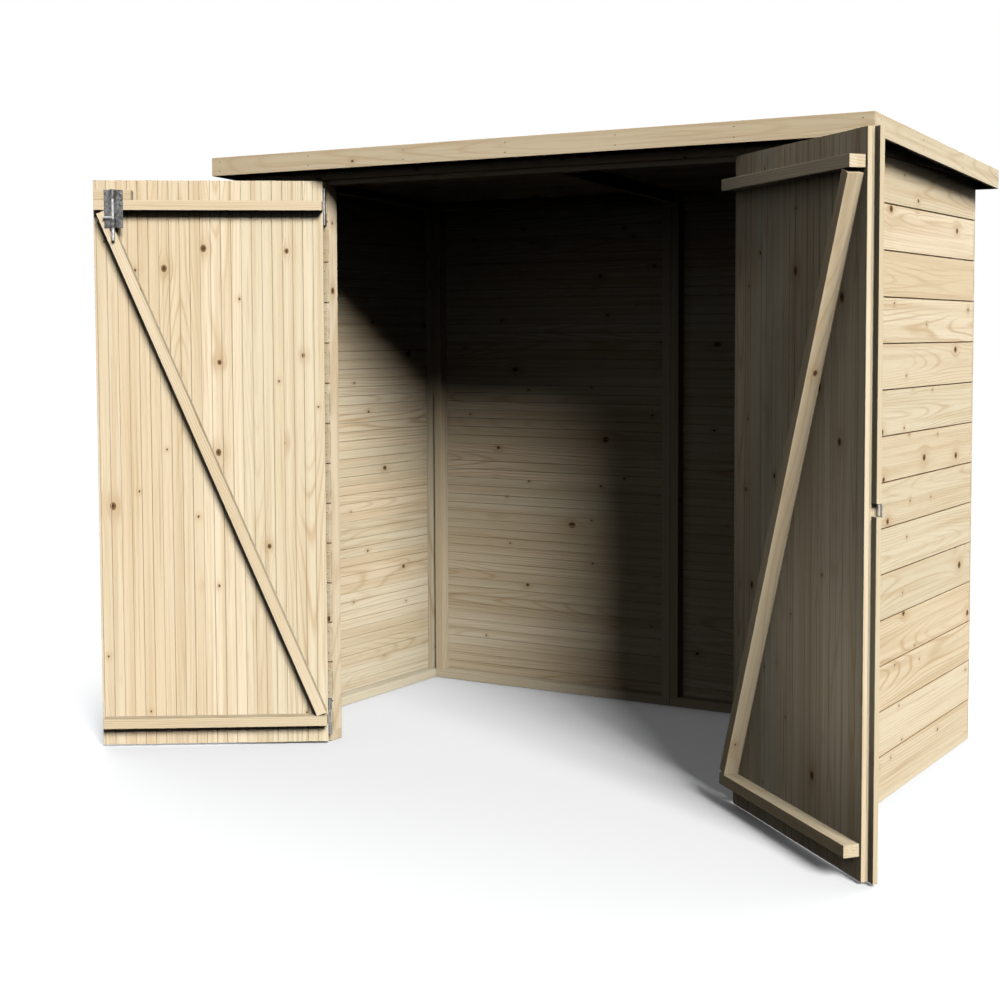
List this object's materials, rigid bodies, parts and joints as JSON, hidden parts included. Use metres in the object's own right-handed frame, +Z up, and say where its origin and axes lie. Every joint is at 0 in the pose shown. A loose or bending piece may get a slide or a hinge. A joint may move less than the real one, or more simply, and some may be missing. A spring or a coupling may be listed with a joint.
{
  "type": "bike shelter",
  "caption": "Timber bike shelter with a pent roof, board-clad batten panels and a pair of ledged and braced doors with strap hinges, slide bolt and hasp.",
  "frame": {"origin": "middle of the back wall's outer foot, on the ground", "axes": "+X to the right seen from the front, along the width; +Y to the back, the doors face -Y; +Z up"},
  "size_m": [2.2751, 1.3835, 1.6357],
  "materials": {
    "cladding_wood": "matte",
    "frame_wood": "matte",
    "roof_felt": "matte",
    "galvanised": "satin"
  },
  "bodies": {
    "shelter": {"left_wall_cladding": "cladding_wood", "left_wall_studs": "frame_wood", "left_wall_bottom_rail": "frame_wood", "left_wall_top_rail": "frame_wood", "right_wall_cladding": "cladding_wood", "right_wall_studs": "frame_wood", "right_wall_bottom_rail": "frame_wood", "right_wall_top_rail": "frame_wood", "back_left_cladding": "cladding_wood", "back_right_cladding": "cladding_wood", "back_studs": "frame_wood", "back_bottom_rails": "frame_wood", "back_top_rails": "frame_wood", "front_left_cladding": "cladding_wood", "front_left_studs": "frame_wood", "front_left_bottom_rail": "frame_wood", "front_right_cladding": "cladding_wood", "front_right_studs": "frame_wood", "front_right_bottom_rail": "frame_wood", "header_cladding": "cladding_wood", "header_rail": "frame_wood", "roof_deck": "cladding_wood", "roof_felt": "roof_felt", "roof_bearer": "frame_wood", "front_fascia": "frame_wood", "left_fascia": "frame_wood", "right_fascia": "frame_wood", "back_fascia": "frame_wood", "left_hinge_plates": "galvanised", "right_hinge_plates": "galvanised"},
    "left_door": {"left_door_boards": "cladding_wood", "left_door_ledges": "frame_wood", "left_door_brace": "frame_wood", "left_door_straps": "galvanised", "bolt_block": "frame_wood", "bolt_plate": "galvanised", "hasp_staple": "galvanised"},
    "right_door": {"right_door_boards": "cladding_wood", "right_door_ledges": "frame_wood", "right_door_brace": "frame_wood", "right_door_straps": "galvanised", "cover_strip": "cladding_wood", "hasp": "galvanised"},
    "bolt": {"bolt_rod": "galvanised"}
  },
  "joints": [
    {"name": "left_door_hinge", "type": "hinge", "parent": "shelter", "child": "left_door", "pos_m": [-0.624, -0.925, 0.78], "axis": [0, 0, -1], "range_deg": [-146.5, 23.5]},
    {"name": "right_door_hinge", "type": "hinge", "parent": "shelter", "child": "right_door", "pos_m": [0.624, -0.925, 0.78], "axis": [0, 0, 1], "range_deg": [-139.5, 30.5]},
    {"name": "bolt_slide", "type": "slide", "parent": "left_door", "child": "bolt", "axis": [0, 0, 1], "range_m": [0, 0.04]}
  ]
}
